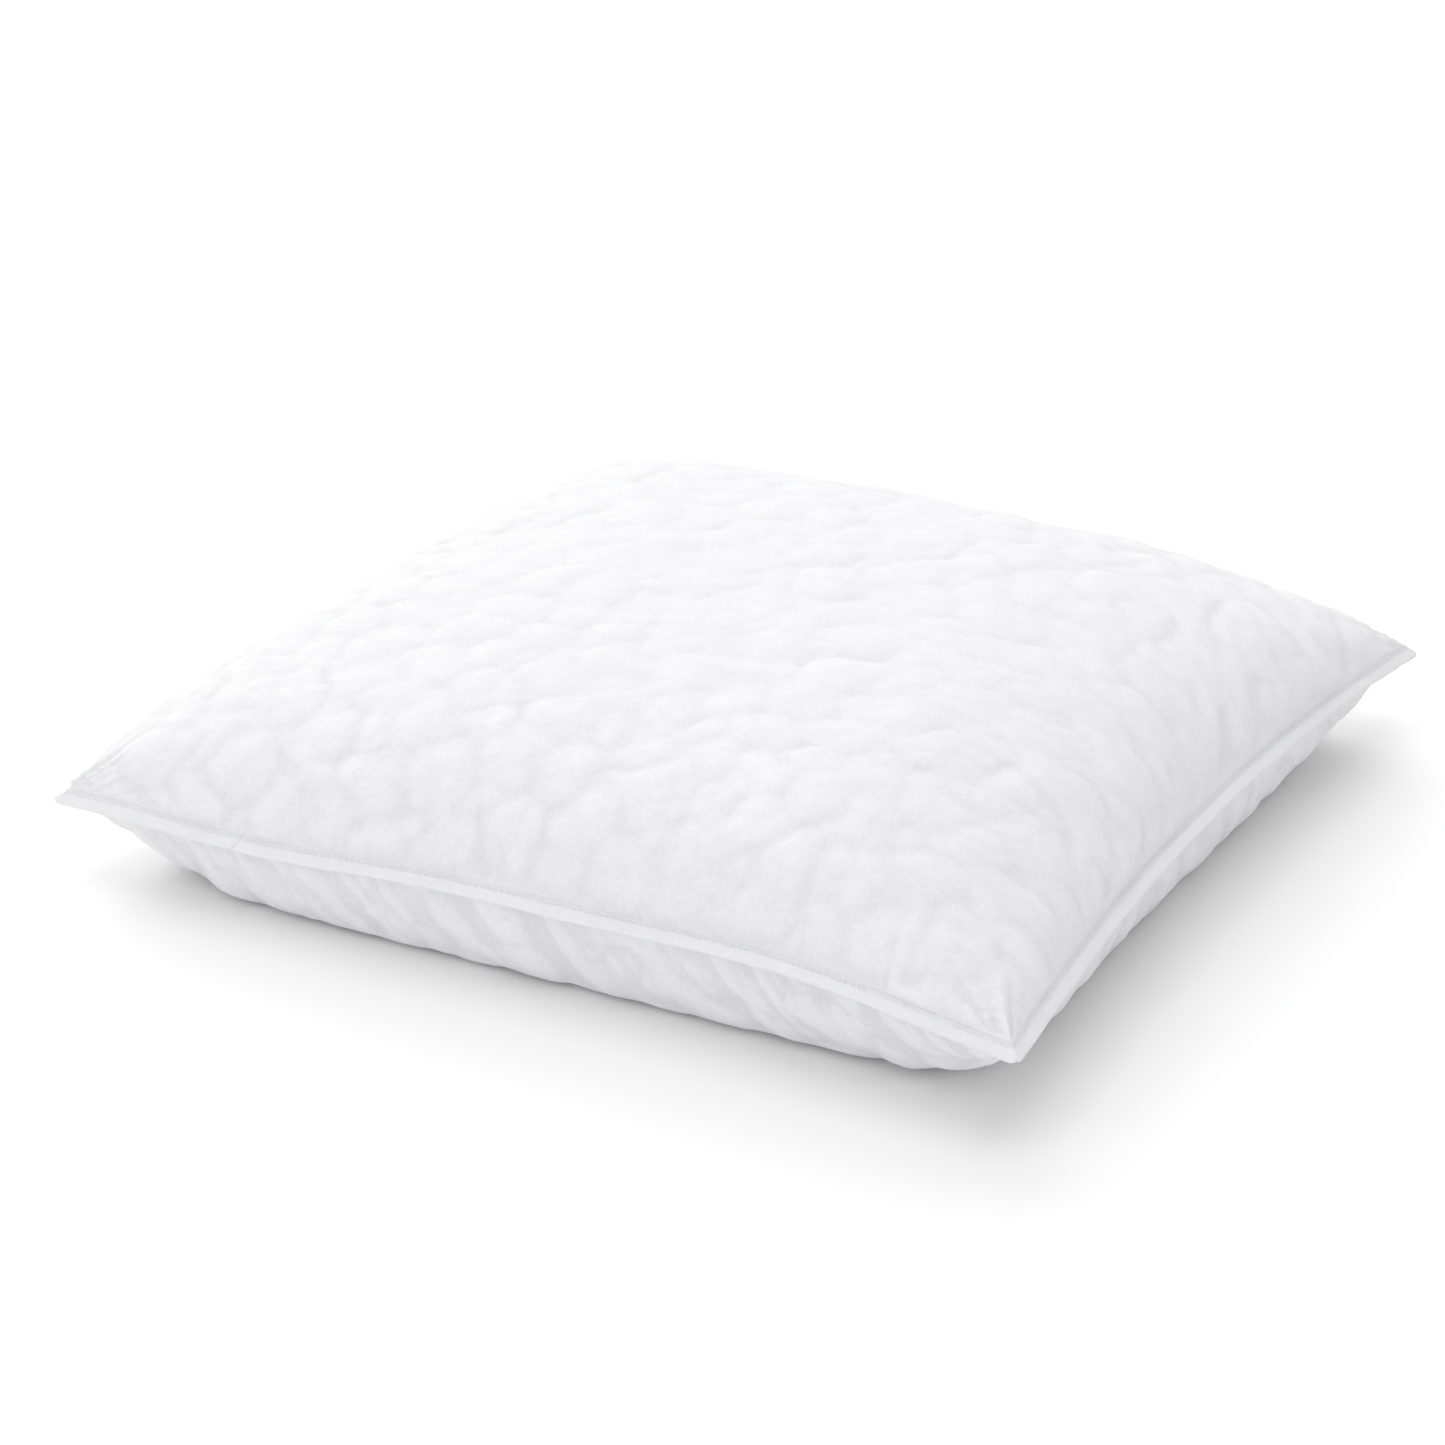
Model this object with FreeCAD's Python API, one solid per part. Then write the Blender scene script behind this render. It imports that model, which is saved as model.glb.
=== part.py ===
"""A square bed pillow: two sewn cover panels, the tape that binds their edges, the threads that
hold the tape, a care label, and the loose polyester fill.

Frame: +Z up, origin on the floor under the middle of the pillow. The front side, which holds the
closed filling gap, faces -Y. All sizes are in millimetres.
"""
import FreeCAD, Part
import math
import os

# The stuffed pillow, measured over the tips of its corners.
WIDTH = 640.0            # along X
DEPTH = 618.0            # along Y
HEIGHT = 152.0           # floor to crown
SEAM_HEIGHT = 62.0       # middle of the edge seam above the floor
FRONT_PINCH = 11.0       # how far the front and back sides draw in at their middle
SIDE_PINCH = 15.0        # how far the left and right sides draw in at their middle
TIP_RADIUS = 6.0         # rounding of each corner tip
INNER_TIP_RADIUS = 0.8   # the least rounding of a corner further in

# The cover.
CLOTH = 0.5              # thickness of a panel, and of the binding tape
FLANGE = 9.0             # width of the flat bound edge outside the seam
CORNER_INSET = 1.1       # a corner moves in by this much for each millimetre that the sides do

# The sides of the domes: 3 is squarer than a plain parabola. A small lip gives a steep edge.
DOME_POWER = 3.0
TOP_LIP = 0.03
BOTTOM_LIP = 0.30
BOTTOM_DEPTH = 175.0     # how deep the lower dome would be with no floor to flatten it
GRID = 21                # points along each side of a dome's surface
EDGE_CROWDING = 0.6      # share of the grid's spacing that crowds towards the edges
SMALL_SHARE = 0.01       # step along a dome's surface that its normal is taken over

# The filling gap, closed last, in the front side.
GAP_LEFT = -192.0        # X of its left end
GAP_RIGHT = 232.0        # X of its right end
TAPE_CLEARANCE = 0.2     # between the closing tape and the ends of the main tape
GAP_REACH = 20.0         # how far the block that parts the tape there reaches out of the pillow
GAP_DEPTH = 60.0         # how deep that block is
GAP_RISE = 10.0          # how far it reaches above and below the seam

# Thread, laid along the inner margin of the tape.
THREAD = 0.5
THREAD_INSET = 7.3       # from the outer edge of the tape

# The care label, a folded satin strip caught in the back seam.
LABEL_WIDTH = 32.0
LABEL_DROP = 42.0
LABEL_THICKNESS = 0.3
LABEL_X = 170.0          # middle of its width
LABEL_INSET = 5.0        # from the edge of the tape to the label's front leaf
LABEL_GAP = 0.15         # between the label and the tape above it
LEAF_GAP = 1.0           # between the label's two leaves

# The fill: clumps of fibre in a layer under the cover, round a matted core.
CLUMP_RADIUS = 22.0
CLUMP_HALF_HEIGHT = 13.0
CLUMP_EDGE = 11.0        # rounding of a clump's edges
CLUMP_PITCH = 51.0
CLUMP_CLEARANCE = 1.5
CLUMP_REACH = 0.84       # how far towards the sides the clumps of the upper layer go
FLOOR_CLUMP_REACH = 0.80
CORNER_REACH = 1.04      # no clump lies further than this share from the middle, as in a corner
RIM_CLUMP_RADIUS = 14.0
RIM_CLUMP_INSET = 33.0
RIM_CLUMP_PITCH = 38.0
RIM_CORNER_GAP = 2.2     # insets between a corner tip and the first clump of a side's row
CORE_RIM = 62.0          # from the corner tips to the side of the core
CORE_DROP = 34.0         # from the cover's crown to the core's crown
CORE_LIFT = 32.0         # from the floor to the core's underside

NEAR = 0.01              # two heights closer than this are the same
OUT = "parts"
UP = FreeCAD.Vector(0, 0, 1)


def vector(x, y, z=0.0):
    return FreeCAD.Vector(x, y, z)


# ---- outlines and prisms -------------------------------------------------------------------

def half_sizes(inset):
    """Half the width and depth over the corners of an outline that lies inset inside the tips."""
    return WIDTH / 2 - CORNER_INSET * inset, DEPTH / 2 - CORNER_INSET * inset


def mid_sides(inset):
    """Distance from the middle of the pillow to the middle of its right side and back side."""
    return WIDTH / 2 - SIDE_PINCH - inset, DEPTH / 2 - FRONT_PINCH - inset


def outline(inset, z):
    """A closed outline of four arcs that curve inwards between the corners."""
    cx, cy = half_sizes(inset)
    mx, my = mid_sides(inset)
    corners = [vector(-cx, -cy, z), vector(cx, -cy, z), vector(cx, cy, z), vector(-cx, cy, z)]
    middles = [vector(0, -my, z), vector(mx, 0, z), vector(0, my, z), vector(-mx, 0, z)]
    arcs = []
    for i in range(4):
        arcs.append(Part.Arc(corners[i], middles[i], corners[(i + 1) % 4]).toShape())
    return Part.Wire(arcs)


def prism(inset, low, high):
    """The outline raised from low to high, with rounded corner tips."""
    block = Part.Face(outline(inset, low)).extrude(UP * (high - low))
    radius = max(TIP_RADIUS - inset, INNER_TIP_RADIUS)
    upright = [e for e in block.Edges if abs(e.BoundBox.ZLength - (high - low)) < NEAR]
    return block.makeFillet(radius, upright)


def ring(outer, inner, low, high):
    """The strip between two insets."""
    return prism(outer, low, high).cut(prism(inner, low - 1, high + 1))


def gap_block(left, right, low, high):
    """A block over the front edge of the pillow between two places along X."""
    corner = vector(left, -DEPTH / 2 - GAP_REACH, low)
    return Part.makeBox(right - left, GAP_DEPTH, high - low, corner)


# ---- domes ---------------------------------------------------------------------------------

def rise(share, lip):
    """Height of a dome's section, 1 in the middle and 0 at share -1 and 1."""
    root = math.sqrt(lip)
    return (math.sqrt(1 + lip - abs(share) ** DOME_POWER) - root) / (math.sqrt(1 + lip) - root)


def place(share_x, share_y, inset):
    """The point of the pinched square at these shares of its half width and half depth."""
    cx, cy = half_sizes(inset)
    mx, my = mid_sides(inset)
    x = share_x * (cx - (cx - mx) * (1 - share_y ** 2))
    y = share_y * (cy - (cy - my) * (1 - share_x ** 2))
    return x, y


def dome_point(share_x, share_y, inset, base, height, lip):
    """A point of the dome that rises from height base at this inset."""
    x, y = place(share_x, share_y, inset)
    return vector(x, y, base + height * rise(share_x, lip) * rise(share_y, lip))


def grid_shares():
    """Shares from -1 to 1, closer together near the ends."""
    even = [2 * i / (GRID - 1) - 1 for i in range(GRID)]
    return [EDGE_CROWDING * math.sin(math.pi * e / 2) + (1 - EDGE_CROWDING) * e for e in even]


def sewn(faces):
    """A solid from faces that meet along their edges."""
    shell = Part.makeShell(faces)
    shell.sewShape()
    solid = Part.Solid(shell)
    if solid.Volume < 0:
        solid.reverse()
    return solid


def dome(inset, base, height, lip):
    """A solid dome with its flat side at height base. With a negative height it hangs below."""
    shares = grid_shares()
    points = [[dome_point(a, b, inset, base, height, lip) for b in shares] for a in shares]
    surface = Part.BSplineSurface()
    surface.interpolate(points)
    skin = surface.toShape()
    edges = [e.Curve.toShape(e.FirstParameter, e.LastParameter) for e in skin.OuterWire.Edges]
    return sewn([skin, Part.Face(Part.Wire(Part.__sortEdges__(edges)))])


def above(shape, z):
    """What of a shape lies above height z."""
    side = 2 * (WIDTH + DEPTH)
    block = Part.makeBox(side, side, side, vector(-side / 2, -side / 2, z))
    return shape.common(block).Solids[0]


def parted(solid, z):
    """(the outline of a solid's flat face at height z, the solid's other faces)."""
    flat = [f for f in solid.Faces if abs(f.BoundBox.ZMax - z) + abs(f.BoundBox.ZMin - z) < NEAR]
    return flat[0].OuterWire, [f for f in solid.Faces if not f.isSame(flat[0])]


def flanged(outer, inner, outer_z, inner_z):
    """The wall between two domes, with a flat flange outside them.

    Each dome's flat side is at the height of the flange's face on its own side.
    """
    low, high = min(outer_z, inner_z), max(outer_z, inner_z)
    block = prism(CLOTH, low, high)
    outline_at = {}
    outline_at[low], faces = parted(block, low)
    outline_at[high] = parted(block, high)[0]
    sides = [f for f in faces if f.BoundBox.ZLength > CLOTH / 2]
    made = list(sides)
    for half, z in ((outer, outer_z), (inner, inner_z)):
        foot, skins = parted(half, z)
        made.extend(skins)
        made.append(Part.makeFace([outline_at[z], foot], "Part::FaceMakerBullseye"))
    return sewn(made)


# ---- the cover -----------------------------------------------------------------------------

def top_panel():
    """The upper panel: a thin dome with the flat flange that the tape binds."""
    outside, inside = SEAM_HEIGHT + CLOTH, SEAM_HEIGHT
    outer = dome(FLANGE, outside, HEIGHT - outside, TOP_LIP)
    inner = dome(FLANGE + CLOTH, inside, HEIGHT - CLOTH - inside, TOP_LIP)
    return flanged(outer, inner, outside, inside)


def bottom_panel():
    """The lower panel: a thin dome that the floor flattens, with its flange."""
    outside, inside = SEAM_HEIGHT - CLOTH, SEAM_HEIGHT
    outer = above(dome(FLANGE, outside, -BOTTOM_DEPTH, BOTTOM_LIP), 0)
    inner = above(dome(FLANGE + CLOTH, inside, -BOTTOM_DEPTH, BOTTOM_LIP), CLOTH)
    return flanged(outer, inner, outside, inside)


def whole_binding():
    """The tape all round: folded over the edges of both flanges."""
    low, high = SEAM_HEIGHT - 2 * CLOTH, SEAM_HEIGHT + 2 * CLOTH
    slot = ring(CLOTH, FLANGE + 1, SEAM_HEIGHT - CLOTH, SEAM_HEIGHT + CLOTH)
    return ring(0, FLANGE, low, high).cut(slot)


def split_at_gap(shape):
    """(what lies outside the filling gap, what closes it)."""
    low, high = SEAM_HEIGHT - GAP_RISE, SEAM_HEIGHT + GAP_RISE
    outside = shape.cut(gap_block(GAP_LEFT, GAP_RIGHT, low, high))
    left, right = GAP_LEFT + TAPE_CLEARANCE, GAP_RIGHT - TAPE_CLEARANCE
    inside = shape.common(gap_block(left, right, low, high))
    return outside, inside


def thread_ring(low):
    return ring(THREAD_INSET, THREAD_INSET + THREAD, low, low + THREAD)


def care_label():
    """Two leaves that hang from the underside of the back flange, joined by a fold at the foot."""
    edge = place(2 * LABEL_X / WIDTH, 1, 0)[1]
    left, front = LABEL_X - LABEL_WIDTH / 2, edge - LABEL_INSET
    foot = SEAM_HEIGHT - 2 * CLOTH - LABEL_GAP - LABEL_DROP
    thick = 2 * LABEL_THICKNESS + LEAF_GAP
    strip = Part.makeBox(LABEL_WIDTH, thick, LABEL_DROP, vector(left, front, foot))
    between = vector(left, front + LABEL_THICKNESS, foot + LABEL_THICKNESS)
    return strip.cut(Part.makeBox(LABEL_WIDTH, LEAF_GAP, LABEL_DROP, between))


# ---- the fill ------------------------------------------------------------------------------

def clump_shape():
    """A round clump, flat like a pebble, with its middle at the origin."""
    foot = vector(0, 0, -CLUMP_HALF_HEIGHT)
    tablet = Part.makeCylinder(CLUMP_RADIUS, 2 * CLUMP_HALF_HEIGHT, foot)
    circles = [e for e in tablet.Edges if isinstance(e.Curve, Part.Circle)]
    return tablet.makeFillet(CLUMP_EDGE, circles)


def standing(shape, centre, normal):
    """A copy of a shape moved to centre, with its +Z turned to the normal."""
    copy = shape.copy()
    copy.Placement = FreeCAD.Placement(centre, FreeCAD.Rotation(UP, normal))
    return copy


def dome_normal(share_x, share_y, inset, base, height, lip):
    """The outward normal of an upward dome, by small steps along its surface."""
    here = dome_point(share_x, share_y, inset, base, height, lip)
    along_x = dome_point(share_x + SMALL_SHARE, share_y, inset, base, height, lip) - here
    along_y = dome_point(share_x, share_y + SMALL_SHARE, inset, base, height, lip) - here
    normal = along_x.cross(along_y)
    normal.normalize()
    return normal


def staggered(reach):
    """Shares for rows of clumps, every other row shifted by half a pitch."""
    rows = int(reach * DEPTH / (CLUMP_PITCH * math.sqrt(3) / 2))
    columns = int(reach * WIDTH / CLUMP_PITCH)
    spots = []
    for row in range(rows + 1):
        share_y = reach * (2 * row / rows - 1)
        shift = (row % 2) * 0.5
        for column in range(columns + 1 - row % 2):
            share_x = reach * (2 * (column + shift) / columns - 1)
            if math.hypot(share_x, share_y) < CORNER_REACH:
                spots.append((share_x, share_y))
    return spots


def upper_clumps():
    """The layer of clumps that lies under the top panel."""
    clump = clump_shape()
    inside = (FLANGE + CLOTH, SEAM_HEIGHT, HEIGHT - CLOTH - SEAM_HEIGHT, TOP_LIP)
    depth = CLUMP_HALF_HEIGHT + CLUMP_CLEARANCE
    made = []
    for share_x, share_y in staggered(CLUMP_REACH):
        skin = dome_point(share_x, share_y, *inside)
        normal = dome_normal(share_x, share_y, *inside)
        made.append(standing(clump, skin - normal * depth, normal))
    return Part.makeCompound(made)


def lower_clumps():
    """The layer of clumps that lies on the floor of the cover."""
    clump = clump_shape()
    z = CLOTH + CLUMP_CLEARANCE + CLUMP_HALF_HEIGHT
    made = []
    for share_x, share_y in staggered(FLOOR_CLUMP_REACH):
        x, y = place(share_x, share_y, FLANGE + CLOTH)
        made.append(standing(clump, vector(x, y, z), UP))
    return Part.makeCompound(made)


def row_of_shares(half):
    """Evenly spaced shares along a side of this half length, clear of its two corners."""
    reach = 1 - RIM_CORNER_GAP * RIM_CLUMP_INSET / half
    count = int(2 * reach * half / RIM_CLUMP_PITCH)
    return [reach * (2 * i / count - 1) for i in range(count + 1)]


def rim_clumps():
    """The row of smaller clumps behind the seam, all the way round."""
    clump = Part.makeSphere(RIM_CLUMP_RADIUS)
    half_x, half_y = half_sizes(0)
    side_x = 1 - RIM_CLUMP_INSET / half_x
    side_y = 1 - RIM_CLUMP_INSET / half_y
    spots = []
    for side in (-1, 1):
        spots.extend((share, side * side_y) for share in row_of_shares(half_x))
        spots.extend((side * side_x, share) for share in row_of_shares(half_y))
    centres = [vector(*place(share_x, share_y, 0), SEAM_HEIGHT) for share_x, share_y in spots]
    return Part.makeCompound([standing(clump, centre, UP) for centre in centres])


def fill_core():
    """The matted middle of the fill."""
    return dome(CORE_RIM, CORE_LIFT, HEIGHT - CORE_DROP - CORE_LIFT, TOP_LIP)


def build():
    """Every sub-part by name."""
    tape, closing_tape = split_at_gap(whole_binding())
    needle, closing_needle = split_at_gap(thread_ring(SEAM_HEIGHT + 2 * CLOTH))
    bobbin, closing_bobbin = split_at_gap(thread_ring(SEAM_HEIGHT - 2 * CLOTH - THREAD))
    return {
        "top_panel": top_panel(),
        "bottom_panel": bottom_panel(),
        "edge_binding": tape,
        "closing_binding": closing_tape,
        "needle_thread": needle,
        "bobbin_thread": bobbin,
        "closing_needle_thread": closing_needle,
        "closing_bobbin_thread": closing_bobbin,
        "care_label": care_label(),
        "fill_core": fill_core(),
        "fill_clumps_upper": upper_clumps(),
        "fill_clumps_lower": lower_clumps(),
        "fill_clumps_rim": rim_clumps(),
    }


def main():
    os.makedirs(OUT, exist_ok=True)
    for name, shape in build().items():
        shape.exportStep(os.path.join(OUT, name + ".step"))
        print(name, len(shape.Solids), "solids", shape.isValid(), round(shape.Volume / 1000, 2), "cm3")


main()
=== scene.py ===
"""The looks of the bed pillow: lumpy cover, stitched edge tape, label and fibre fill.

Every length is in metres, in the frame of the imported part: +Z up, the origin on the floor under
the middle, the front side with the closed filling gap facing -Y.

A place on a cover panel is a pair of shares (s, t), each from -1 to 1: s runs from the left side
to the right side, and t from the front side to the back side.
"""
import math

import bpy
import numpy as np
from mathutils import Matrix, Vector


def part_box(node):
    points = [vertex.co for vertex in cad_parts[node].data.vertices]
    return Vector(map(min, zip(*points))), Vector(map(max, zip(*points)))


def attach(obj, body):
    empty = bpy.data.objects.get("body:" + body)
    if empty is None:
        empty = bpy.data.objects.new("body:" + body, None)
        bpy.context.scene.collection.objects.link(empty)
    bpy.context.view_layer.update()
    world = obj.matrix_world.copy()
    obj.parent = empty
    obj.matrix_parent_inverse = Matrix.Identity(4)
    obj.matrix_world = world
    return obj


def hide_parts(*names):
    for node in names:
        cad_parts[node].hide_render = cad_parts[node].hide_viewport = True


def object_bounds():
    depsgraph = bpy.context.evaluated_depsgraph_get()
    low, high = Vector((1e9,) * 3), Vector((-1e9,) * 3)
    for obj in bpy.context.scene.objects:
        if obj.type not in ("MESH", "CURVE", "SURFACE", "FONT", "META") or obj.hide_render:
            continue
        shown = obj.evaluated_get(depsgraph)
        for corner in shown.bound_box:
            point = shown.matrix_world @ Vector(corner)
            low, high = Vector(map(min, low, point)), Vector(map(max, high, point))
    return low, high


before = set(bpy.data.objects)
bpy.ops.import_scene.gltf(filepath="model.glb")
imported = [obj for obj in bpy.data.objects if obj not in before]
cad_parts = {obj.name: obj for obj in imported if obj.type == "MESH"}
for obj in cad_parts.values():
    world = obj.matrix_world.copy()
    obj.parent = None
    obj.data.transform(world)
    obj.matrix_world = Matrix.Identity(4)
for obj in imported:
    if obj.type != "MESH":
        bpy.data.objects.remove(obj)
CAD_LOW, CAD_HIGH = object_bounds()

# ---- sizes from the frame ------------------------------------------------------------------
WIDTH = CAD_HIGH.x - CAD_LOW.x
DEPTH = CAD_HIGH.y - CAD_LOW.y
HEIGHT = CAD_HIGH.z
GAP_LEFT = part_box("closing_binding")[0].x
GAP_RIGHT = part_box("closing_binding")[1].x
LABEL_LOW, LABEL_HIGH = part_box("care_label")

# ---- the shape of the stuffed cover --------------------------------------------------------
FLAT = 0.65                  # side of the square each panel is cut to
SIDE_PINCH = 0.0168          # how far the left and right sides draw in at their middle
FRONT_PINCH = 0.0065         # the same for the front and back sides
CORNER_SEAM = 0.0523         # height of the edge at a corner
MIDDLE_SEAM = 0.0610         # height of the edge in the middle of a side
TOP_POWER = 2.94             # squareness of the crown
TOP_EDGE = 0.437             # how steeply the crown meets the seam
CROWN_RISE = HEIGHT - MIDDLE_SEAM - 0.0095
CROWN_SHIFT = (-0.041, -0.062)  # share by which the crown leans to the left and to the front
BOTTOM_DEPTH = 0.145         # how deep the lower panel would hang with no floor
BOTTOM_POWER = 2.80
BOTTOM_EDGE = 0.477
FLOOR_BLEND = 0.006          # height over which the lower panel rounds onto the floor
FRONT_SWAY = 0.0077          # the front edge is lower on its left and higher on its right
FRONT_RIPPLE = -0.0035       # and has a second, shorter wave
FRONT_SWING = 0.0033         # how far it swings in and out
RIGHT_SWAY = 0.0018          # the same for the right edge, front to back
RIGHT_SWING = 0.0017
TIP_INSET = 1.1              # an inset at the corner tips, as a share of that at the sides

# ---- the tape ------------------------------------------------------------------------------
TAPE = 0.0097                # width of the folded tape
TAPE_TILT = math.radians(47)  # droop of its outer edge
TILT_SHARE = 0.16            # share by which the droop varies along a side
TILT_LENGTH = 0.16           # length over which it varies
RIGHT_LIFT = 0.55            # share of the droop that is lost in the middle of the right side
TAPE_HALF = 0.0008           # half its thickness at the stitches
TAPE_ROLL = 0.0013           # half its thickness at the folded edge
TAPE_STEP = 0.0010           # spacing of its cross-sections
STITCH = 0.0042              # from one stitch to the next
STITCH_LENGTH = 0.0033
STITCH_RADIUS = 0.00028
STITCH_AT = 0.18             # place of the stitch row across the tape, from its inner edge
SCALLOP = 0.00045            # how far each stitch draws the tape's inner edge in
DIMPLE = 0.00028             # how deep each stitch pulls into the tape
TIP_TRIM = 0.22              # share of its width that the tape loses at a corner tip
TIP_REACH = 0.0030           # length over which it does

# ---- the lumps: least and most radius, overlap of neighbours, height as a share of the radius --
LUMP_LAYERS = (
    (0.0125, 0.0280, 0.62, 0.130),
    (0.0060, 0.0120, 0.66, 0.062),
)
LUMP_MERGE = 0.00030         # height over which neighbouring lumps melt into each other
LUMP_DOME = 0.75             # fullness of a lump: 1 is a paraboloid, 0.5 an ellipsoid
SMALL_BIAS = 2.2             # above 1 there are more small lumps than big ones
PULL_REACH = 0.075           # how far the pull of a seam reaches in over the cloth
RIGHT_TURN = 0.85            # how far the folds of the right flank turn towards its seam
LOWER_SLANT = 0.52           # how far the lower panel's folds lean along the edge, going inwards

UNEVEN = ((0.0016, 0.085, 5), (0.0007, 0.036, 6), (0.00010, 0.0062, 8))  # height, size, seed step
ARC_WRINKLE = 0.0016         # height of the creases that lie round a corner tip
FAN_WRINKLE = 0.0022         # height of those that fan out from it
LEFT_RIDGE = 0.0030          # height of the long fold beside the left edge
RIDGE_HALF_WIDTH = 0.0075
BLUR_PASSES = 24             # blur of the surface from which the depth of the hollows is taken, for their painted shade

FILL_MARGIN = 0.0055         # least height between the fill and the smooth cover
FILL_SPREAD = 1.03           # the cover's height is taken this much further out than the fill
CORE_SHARE = 0.94            # size of the visible core in the space of the plain one

PANEL_CELLS = 315            # cells along each side of a panel
SEED = 470


# ---- noise ---------------------------------------------------------------------------------

def wave_noise(x, length, seed):
    """Smooth noise along one coordinate, about -1 to 1, that changes over about length."""
    rng = np.random.default_rng(seed)
    total = np.zeros_like(x)
    for octave in range(3):
        phase = rng.uniform(0, 2 * np.pi, 4)
        pace = rng.uniform(0.7, 1.5, 4) * 2 ** octave
        for k in range(4):
            total += np.sin(x / length * 2 * np.pi * pace[k] + phase[k]) / 2 ** octave
    return total / 4.5


def patch_noise(x, y, size, seed):
    """Smooth noise over a plane, about -1 to 1, with patches of about size."""
    rng = np.random.default_rng(seed)
    table = rng.uniform(-1, 1, (256, 256))
    fx, fy = x / size + 77.3, y / size + 41.9
    ix, iy = np.floor(fx).astype(int), np.floor(fy).astype(int)
    wx, wy = fx - ix, fy - iy
    wx, wy = wx * wx * (3 - 2 * wx), wy * wy * (3 - 2 * wy)
    a = table[ix % 256, iy % 256]
    b = table[(ix + 1) % 256, iy % 256]
    c = table[ix % 256, (iy + 1) % 256]
    d = table[(ix + 1) % 256, (iy + 1) % 256]
    return (a * (1 - wx) + b * wx) * (1 - wy) + (c * (1 - wx) + d * wx) * wy


def step_up(x, low, high):
    """0 below low, 1 above high, smooth between."""
    t = np.clip((x - low) / (high - low), 0, 1)
    return t * t * (3 - 2 * t)


def nearest_side(x, y):
    """The coordinate that runs along the nearest side, and an offset of the noise for that side."""
    beside_x = np.abs(x) > np.abs(y)
    return np.where(beside_x, y, x), np.where(beside_x, 3.1 * np.sign(x), 7.7 * np.sign(y))


# ---- the cover's smooth shape --------------------------------------------------------------

def near_front(s, t):
    """1 on the front edge away from its ends, fading out over the pillow."""
    return ((1 - t) / 2) ** 2 * (1 - s ** 2)


def near_right(s, t):
    """The same for the right edge."""
    return ((1 + s) / 2) ** 2 * (1 - t ** 2)


def edge_height(s, t):
    """Height of the edge line, carried inwards over the whole pillow."""
    level = CORNER_SEAM + (MIDDLE_SEAM - CORNER_SEAM) * (1 - (s * t) ** 2)
    front = FRONT_SWAY * np.sin(np.pi * s) + FRONT_RIPPLE * np.sin(2 * np.pi * s)
    right = RIGHT_SWAY * np.sin(np.pi * t)
    return level + near_front(s, t) * front + near_right(s, t) * right


def plan(s, t, inset):
    """x and y of the square with drawn-in sides, inset from its outer edge."""
    corner_x, corner_y = WIDTH / 2 - TIP_INSET * inset, DEPTH / 2 - TIP_INSET * inset
    side_x, side_y = WIDTH / 2 - SIDE_PINCH - inset, DEPTH / 2 - FRONT_PINCH - inset
    x = s * (corner_x - (corner_x - side_x) * (1 - t ** 2))
    y = t * (corner_y - (corner_y - side_y) * (1 - s ** 2))
    x = x + near_right(s, t) * RIGHT_SWING * np.sin(np.pi * t)
    y = y + near_front(s, t) * FRONT_SWING * np.sin(np.pi * s)
    return x, y


def tape_tilt(s, t):
    """Droop of the tape at a place on the edge: it varies softly along each side."""
    along, side = nearest_side(s, t)
    wave = TILT_SHARE * wave_noise(along * WIDTH / 2 + side, TILT_LENGTH, 5)
    return TAPE_TILT * (1 - RIGHT_LIFT * near_right(s, t)) * (1 + wave)


def inner_line(s, t):
    """x, y and z of the stitched inner edge of the tape, or of a place inside it."""
    x, y = plan(s, t, TAPE * math.cos(TAPE_TILT))
    return x, y, edge_height(s, t) + TAPE * math.sin(TAPE_TILT)


def bulge(s, t, power, edge):
    """1 over the middle of a panel, 0 at its seam."""
    inside = (1 - np.abs(s) ** power) * (1 - np.abs(t) ** power)
    return np.clip(inside, 0, 1) ** edge


def on_floor(z):
    """Heights below the floor brought up to it, with a rounded edge to the contact."""
    return np.where(z > FLOOR_BLEND, z, FLOOR_BLEND * np.exp(np.minimum(z / FLOOR_BLEND - 1, 0)))


def panel_base(s, t, top):
    """Points of the smooth panel, as an array of shape (..., 3)."""
    x, y, seam = inner_line(s, t)
    if top:
        lean_s = s - CROWN_SHIFT[0] * (1 - s ** 2)
        lean_t = t - CROWN_SHIFT[1] * (1 - t ** 2)
        z = seam + CROWN_RISE * bulge(lean_s, lean_t, TOP_POWER, TOP_EDGE)
    else:
        z = on_floor(seam - BOTTOM_DEPTH * bulge(s, t, BOTTOM_POWER, BOTTOM_EDGE))
    return np.stack([x, y, z], -1)


def even_shares(count, top):
    """Shares that put the grid's lines evenly along the cloth, averaged over its sections."""
    fine = np.sin(np.linspace(-np.pi / 2, np.pi / 2, 4001))
    spacing = np.zeros(len(fine) - 1)
    for across in (0.0, 0.5, 0.8):
        points = panel_base(fine, np.full_like(fine, across), top)
        spacing += np.linalg.norm(np.diff(points, axis=0), axis=1)
    run = np.concatenate([[0], np.cumsum(spacing)])
    return np.interp(np.linspace(0, run[-1], count + 1), run, fine)


def arc_lengths(points, axis):
    """Distance along the cloth from the middle line, in the grid's direction axis."""
    steps = np.linalg.norm(np.diff(points, axis=axis), axis=2)
    run = np.concatenate([np.zeros_like(np.take(steps, [0], axis)), np.cumsum(steps, axis)], axis)
    middle = np.take(run, [run.shape[axis] // 2], axis)
    return run - middle


def normals_of(points):
    """Unit normals of a grid of points, on the side of s cross t."""
    along_s = np.gradient(points, axis=0)
    along_t = np.gradient(points, axis=1)
    normal = np.cross(along_s, along_t)
    return normal / np.maximum(np.linalg.norm(normal, axis=2, keepdims=True), 1e-12)


# ---- lumps of fibre that show through the cloth --------------------------------------------

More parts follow.
